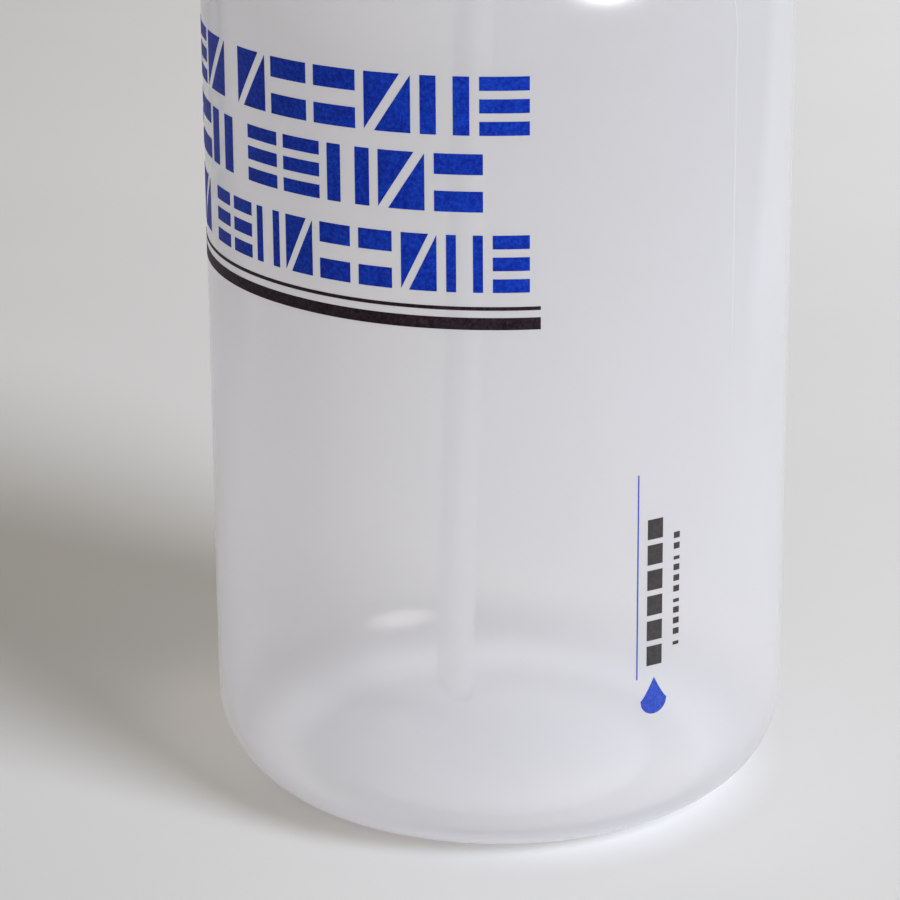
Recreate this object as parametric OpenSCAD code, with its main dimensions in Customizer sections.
// Laboratory wash bottle: a squeeze bottle with a screw cap, a sealing insert that carries a bent,
// swivelling spout, a nozzle with a push-on tip cap, and a dip tube that reaches down to the base.
// The origin is the centre of the base at ground level, +Z is up and the spout points to -X.

/* [Bottle] */
// Outside diameter of the body
body_d = 75; // [60:1:90]
// Height at which the straight wall ends and the shoulder begins
straight_z = 104; // [90:0.5:150]
// Radius of the rounded edge between the base and the wall
corner_r = 11; // [6:0.5:14]
// Radius of the rounded shoulder
shoulder_r = 18; // [12:0.5:26]
// Angle through which the shoulder turns before it runs straight to the neck
shoulder_turn = 35; // [30:1:50]
// Radius of the hollow blend between the shoulder and the neck
fillet_r = 10; // [6:0.5:12]
// Thickness of the blown wall
wall_t = 1.1; // [0.8:0.1:1.6]
// Width of the flat ring that the bottle stands on
foot_w = 6; // [4:0.5:8]
// Height of the hollow under the base
push_up = 2.5; // [1:0.5:4]

/* [Neck and thread] */
// Outside diameter of the neck, at the root of its thread
neck_d = 25; // [24:0.1:25.2]
// Diameter of the opening in the neck
mouth_d = 21.6; // [20:0.1:22]
// Height of the neck above the shoulder
neck_h = 18.3; // [17.5:0.1:20]
// Diameter over the crests of the neck's thread
thread_d = 27.5; // [27:0.1:27.6]
// Rise of the thread in one turn
thread_pitch = 4.2; // [4:0.05:4.4]
// Turns of thread on the neck and in the cap
thread_turns = 1.5; // [1:0.25:1.5]

/* [Screw cap] */
// Diameter over the cap's ribs
cap_d = 33; // [32.5:0.5:36]
// Depth of the grooves between the ribs
rib_depth = 0.7; // [0.4:0.1:0.9]
// Number of ribs round the cap
rib_count = 40; // [24:2:60]
// Thickness of the cap's top
cap_top_t = 1.6; // [1.2:0.1:2.4]

/* [Sealing insert] */
// Thickness of the flange that the cap clamps on the mouth of the bottle
flange_t = 1.4; // [1:0.1:2]
// Depth of the plug in the neck
plug_h = 6.5; // [5:0.5:8]
// Height of the boss above the cap
boss_h = 9; // [6:0.5:12]

/* [Spout] */
// Outside diameter of the spout
spout_d = 6; // [5.4:0.1:6.4]
// Bore of the spout
spout_bore = 3.8; // [3:0.1:4]
// Straight length between the boss and the bend
spout_rise = 7; // [2:0.5:20]
// Radius of the bend, to the middle of the tube
bend_r = 16; // [10:1:24]
// Angle of the bend, where 90 leaves the nozzle level
bend_angle = 105; // [60:1:120]
// Straight length after the bend
spout_run = 28; // [15:1:40]

/* [Nozzle and tip cap] */
// Length of the nozzle's tapered jet
jet_l = 25; // [16:1:35]
// Diameter of the jet at its tip
jet_d = 2.6; // [2:0.1:3]
// Diameter of the hole in the tip
jet_bore = 1.2; // [0.8:0.1:1.4]
// Wall of the tip cap
tip_wall = 1.1; // [0.8:0.1:1.5]

/* [Dip tube] */
// Outside diameter of the dip tube
dip_d = 5; // [4.4:0.1:5.2]
// Bore of the dip tube
dip_bore = 3.4; // [2.8:0.1:3.6]
// Angle from upright at which the dip tube leaves the spout
dip_lean = 4.1; // [2:0.1:5]
// Angle through which the tube straightens on its way down, from its set
dip_bow = 2.3; // [1:0.1:3]
// Gap between the tube's foot and the floor of the bottle
dip_gap = 2; // [1:0.5:6]

/* [Hidden] */

slip = 0.05;        // radial gap between pieces that turn or slide on each other
seat = 0.02;        // gap between faces that rest on each other
side = 0.35;        // radial gap between one thread's crest and the other's root
grip = 0.3;         // depth to which a thread is sunk in the wall that carries it
LATHE = 144;        // facets round a large turned piece, where a mesh is made of it
ROUND = 64;         // facets round a tube

// Bottle
body_r = body_d / 2;
foot_r = body_r - corner_r - foot_w;
dome_r = (foot_r * foot_r + push_up * push_up) / (2 * push_up);
neck_r = neck_d / 2;
mouth_r = mouth_d / 2;
cone_r = body_r - shoulder_r + shoulder_r * cos(shoulder_turn);
cone_z = straight_z + shoulder_r * sin(shoulder_turn);
neck_z = cone_z + (fillet_r - (neck_r + fillet_r - cone_r) * cos(shoulder_turn)) / sin(shoulder_turn);
neck_top = neck_z + neck_h;
neck_blend = 4;     // height over which the wall thickens into the neck
bead_r = neck_r + 1.9;
bead_z = neck_z + 1.2;
bead_h = 1.6;
bead_edge = 0.4;

// Threads
crest_r = thread_d / 2;
cap_bore_r = crest_r + side;
cap_crest_r = neck_r + side;
tooth_foot = 2.2;   // width of a tooth where it leaves its wall
tooth_tip = 0.9;    // width of a tooth at its crest
thread_z = bead_z + bead_h + 2.9;
flank_gap = 0.35;   // how far the cap's tooth sits above the middle of the gap it runs in
thread_fade = 50;   // degrees over which a thread rises from its wall and sinks into it

// Screw cap
cap_r = cap_d / 2;
skirt_z = bead_z + bead_h + 0.3;
cap_under_z = neck_top + seat + flange_t + slip;
cap_top_z = cap_under_z + cap_top_t;
cap_edge = 1.2;     // chamfer round the cap's top
skirt_edge = 0.5;   // chamfer round the cap's mouth
past = 1;           // how far a cutting tool runs past the face it cuts

// Sealing insert
bore_r = spout_d / 2 + slip;
boss_r = 6.5;
boss_tip_r = 4.6;
snap_r = boss_r + 0.6;  // bead that snaps through the cap's hole and holds the cap
snap_h = 1;
snap_neck_r = boss_r - 0.2;
hub_r = 5.2;
hub_h = 4;
plug_r = mouth_r - slip;
plug_t = 1.3;
plug_lead = 1;      // height of the taper that leads the plug into the neck
plug_lead_r = plug_r - 0.5;
flange_r = neck_r + 0.7;
boss_top = cap_top_z + boss_h;
hub_z = neck_top - hub_h;

// Spout and dip tube
spout_r = spout_d / 2;
bend_z = boss_top + spout_rise;
end_x = -bend_r + bend_r * cos(bend_angle) - spout_run * sin(bend_angle);
end_z = bend_z + bend_r * sin(bend_angle) + spout_run * cos(bend_angle);
bend_lap = 0.4;     // the straight run starts this far inside the bend
bend_inset = 0.01;  // and lies this much within the bend's wall
collar_r = 4.6;
collar_h = 11;
collar_top = hub_z - slip;
socket_h = 9;
dip_r = dip_d / 2;
dip_top = collar_top - collar_h + socket_h - seat;
dip_foot_z = push_up + wall_t + dip_gap;
dip_cut = 35;       // slope of the cut across the tube's foot
dip_l = (dip_top - dip_foot_z) / cos(dip_lean - dip_bow / 2);
dip_bend_r = dip_l / (dip_bow * PI / 180);
dip_steps = 12;     // straight pieces that a mesh of the bowed tube is made of

// Nozzle and tip cap
sleeve_l = 9;
fit_r = spout_r + seat;
sleeve_r = fit_r + 1;
jet_r = jet_d / 2;
shoulder_l = 3;     // length from the spout's end to the root of the jet
shoulder_slope = 1.6;
jet_root_r = sleeve_r - 0.8;
jet_z = shoulder_l + jet_l;
throat_l = 6;       // length over which the jet's bore is at its narrowest
brim_r = sleeve_r + 1.2;
brim_l = 2;
brim_slope = 0.6;
tip_inner_r = jet_root_r + slip;
tip_end_r = jet_r + slip;
tip_end_t = 1.6;    // thickness of the tip cap's closed end
tip_round = 0.7;    // how far the closed end draws in at its edge

// Points along an arc about c, from angle a to angle b, in n equal steps
function arc(c, r, a, b, n) = [for (i = [0:n]) let (t = a + (b - a) * i / n) c + r * [cos(t), sin(t)]];

function reverse(list) = [for (i = [len(list) - 1:-1:0]) list[i]];

// Half outline of the bottle from the middle of the base to the foot of the neck, t inside its skin
function outline(t) = concat(
    arc([0, push_up - dome_r], dome_r + t, 90, asin((dome_r - push_up + t) / (dome_r + t)), 6),
    arc([body_r - corner_r, corner_r], corner_r - t, -90, 0, 10),
    arc([body_r - shoulder_r, straight_z], shoulder_r - t, 0, shoulder_turn, 10),
    arc([neck_r + fillet_r, neck_z], fillet_r + t, 180 + shoulder_turn, 180, 8)
);

// The four corners of a thread's tooth at turn angle a
function tooth(a, root_r, tip_r) = let (
    rise = min(1, 0.02 + min(a, 360 * thread_turns - a) / thread_fade),
    z = thread_pitch * a / 360,
    r = root_r + (tip_r - root_r) * rise
) [
    for (p = [[root_r, -tooth_foot], [r, -tooth_tip], [r, tooth_tip], [root_r, tooth_foot]])
    [p[0] * cos(a), p[0] * sin(a), z + p[1] / 2]
];

// A right-hand thread that starts on the X axis. It stands outwards where tip_r is over root_r,
// and else inwards
module thread(root_r, tip_r) {
    steps = round(40 * thread_turns);
    last = 4 * steps;
    points = [for (i = [0:steps]) each tooth(360 * thread_turns * i / steps, root_r, tip_r)];
    sides = [
        for (i = [0:steps - 1], j = [0:3]) let (p = 4 * i + j, q = 4 * i + (j + 1) % 4)
        each [[p, p + 4, q + 4], [p, q + 4, q]]
    ];
    ends = [[0, 1, 2], [0, 2, 3], [last + 2, last + 1, last], [last + 3, last + 2, last]];
    faces = concat(sides, ends);
    polyhedron(points, tip_r < root_r ? faces : [for (f = faces) reverse(f)]);
}

module ring(outer_r, inner_r) {
    difference() {
        circle(outer_r, $fn = ROUND);
        circle(inner_r, $fn = ROUND);
    }
}

// Puts its children at the end of the spout, with +Z along the way the jet points
module at_spout_end() {
    translate([end_x, 0, end_z]) rotate([0, -bend_angle, 0]) children();
}

module bottle() {
    color([0.84, 0.86, 0.88, 0.6]) {
        rotate_extrude($fn = LATHE) polygon(concat(
            outline(0),
            [[neck_r, neck_top], [mouth_r, neck_top], [mouth_r, neck_z + neck_blend]],
            reverse(outline(wall_t))
        ));
        translate([0, 0, bead_z]) rotate_extrude($fn = LATHE) polygon([
            [neck_r - grip, 0], [bead_r - bead_edge, 0], [bead_r, bead_edge],
            [bead_r, bead_h - bead_edge], [bead_r - bead_edge, bead_h], [neck_r - grip, bead_h]
        ]);
        translate([0, 0, thread_z]) thread(neck_r - grip, crest_r);
    }
}

// The ribbed outline of the cap: each rib is a trapezium
module cap_ribs() {
    polygon([
        for (i = [0:rib_count - 1], p = [[0, 0], [0.3, 0], [0.45, 1], [0.85, 1]])
        let (a = 360 * (i + p[0]) / rib_count) (cap_r - rib_depth * (1 - p[1])) * [cos(a), sin(a)]
    ]);
}

module screw_cap() {
    color([0.07, 0.2, 0.58]) {
        difference() {
            intersection() {
                translate([0, 0, skirt_z]) linear_extrude(cap_top_z - skirt_z) cap_ribs();
                rotate_extrude($fn = LATHE) polygon([
                    [0, skirt_z], [cap_r - skirt_edge, skirt_z], [cap_r, skirt_z + skirt_edge],
                    [cap_r, cap_top_z - cap_edge], [cap_r - cap_edge, cap_top_z], [0, cap_top_z]
                ]);
            }
            translate([0, 0, skirt_z - past])
                cylinder(cap_under_z - skirt_z + past, r = cap_bore_r, $fn = LATHE);
            translate([0, 0, cap_under_z - past])
                cylinder(cap_top_t + 2 * past, r = boss_r + slip, $fn = LATHE);
        }
        translate([0, 0, thread_z - thread_pitch / 2 + flank_gap]) thread(cap_bore_r + grip, cap_crest_r);
    }
}

module sealing_insert() {
    rim_z = neck_top + seat;
    color([0.9, 0.91, 0.9, 0.8]) rotate_extrude($fn = LATHE) polygon([
        [bore_r, hub_z], [hub_r, hub_z], [hub_r, rim_z],
        [plug_r - plug_t, rim_z], [plug_r - plug_t, neck_top - plug_h],
        [plug_lead_r, neck_top - plug_h], [plug_r, neck_top - plug_h + plug_lead],
        [plug_r, rim_z], [flange_r, rim_z], [flange_r, rim_z + flange_t],
        [boss_r, rim_z + flange_t], [boss_r, cap_top_z + slip], [snap_r, cap_top_z + slip],
        [snap_neck_r, cap_top_z + slip + snap_h], [boss_tip_r, boss_top], [bore_r, boss_top]
    ]);
}

module spout_tube() {
    color([0.9, 0.91, 0.9, 0.8]) {
        difference() {
            translate([0, 0, collar_top - collar_h]) cylinder(collar_h, r = collar_r, $fn = ROUND);
            translate([0, 0, dip_top + seat]) rotate([0, dip_lean, 0])
                translate([0, 0, -2 * socket_h]) cylinder(2 * socket_h, r = dip_r + slip, $fn = ROUND);
            translate([0, 0, dip_top]) cylinder(collar_h, r = spout_bore / 2, $fn = ROUND);
        }
        translate([0, 0, dip_top + 1]) linear_extrude(bend_z - dip_top - 1) ring(spout_r, spout_bore / 2);
        translate([-bend_r, 0, bend_z]) rotate([90, 0, 0]) rotate_extrude(angle = bend_angle, $fn = LATHE)
            translate([bend_r, 0]) ring(spout_r, spout_bore / 2);
        at_spout_end() translate([0, 0, -spout_run - bend_lap]) linear_extrude(spout_run + bend_lap)
            ring(spout_r - bend_inset, spout_bore / 2 + bend_inset);
    }
}

module nozzle_tip() {
    color([0.9, 0.91, 0.9, 0.8]) at_spout_end() rotate_extrude($fn = ROUND) polygon([
        [fit_r, -sleeve_l], [sleeve_r, -sleeve_l], [sleeve_r, shoulder_l - shoulder_slope],
        [jet_root_r, shoulder_l], [jet_r, jet_z], [jet_bore / 2, jet_z],
        [jet_bore / 2, jet_z - throat_l], [spout_bore / 2, seat], [fit_r, seat]
    ]);
}

module tip_cap() {
    outer_r = tip_end_r + tip_wall;
    color([0.07, 0.2, 0.58]) at_spout_end() translate([0, 0, shoulder_l + seat]) rotate_extrude($fn = ROUND)
        polygon([
            [tip_inner_r, 0], [brim_r, 0], [brim_r, brim_l], [tip_inner_r + tip_wall, brim_l + brim_slope],
            [outer_r, jet_l], [outer_r - tip_round, jet_l + tip_end_t], [0, jet_l + tip_end_t],
            [0, jet_l + seat], [tip_end_r, jet_l + seat]
        ]);
}

module dip_tube() {
    foot_x = dip_bend_r * (cos(dip_lean) - cos(dip_lean - dip_bow));
    knife = 4 * dip_r;
    color([0.92, 0.92, 0.9, 0.7]) difference() {
        translate([dip_bend_r * cos(dip_lean), 0, dip_top - dip_bend_r * sin(dip_lean)]) rotate([90, 0, 0])
            rotate([0, 0, 180 - dip_lean]) rotate_extrude(angle = dip_bow, $fn = dip_steps * 360 / dip_bow)
                translate([dip_bend_r, 0]) ring(dip_r, dip_bore / 2);
        translate([foot_x + dip_r, 0, dip_foot_z]) rotate([0, dip_cut, 0])
            translate([-knife, -knife, -knife]) cube([2 * knife, 2 * knife, knife]);
    }
}

bottle();
screw_cap();
sealing_insert();
spout_tube();
nozzle_tip();
tip_cap();
dip_tube();
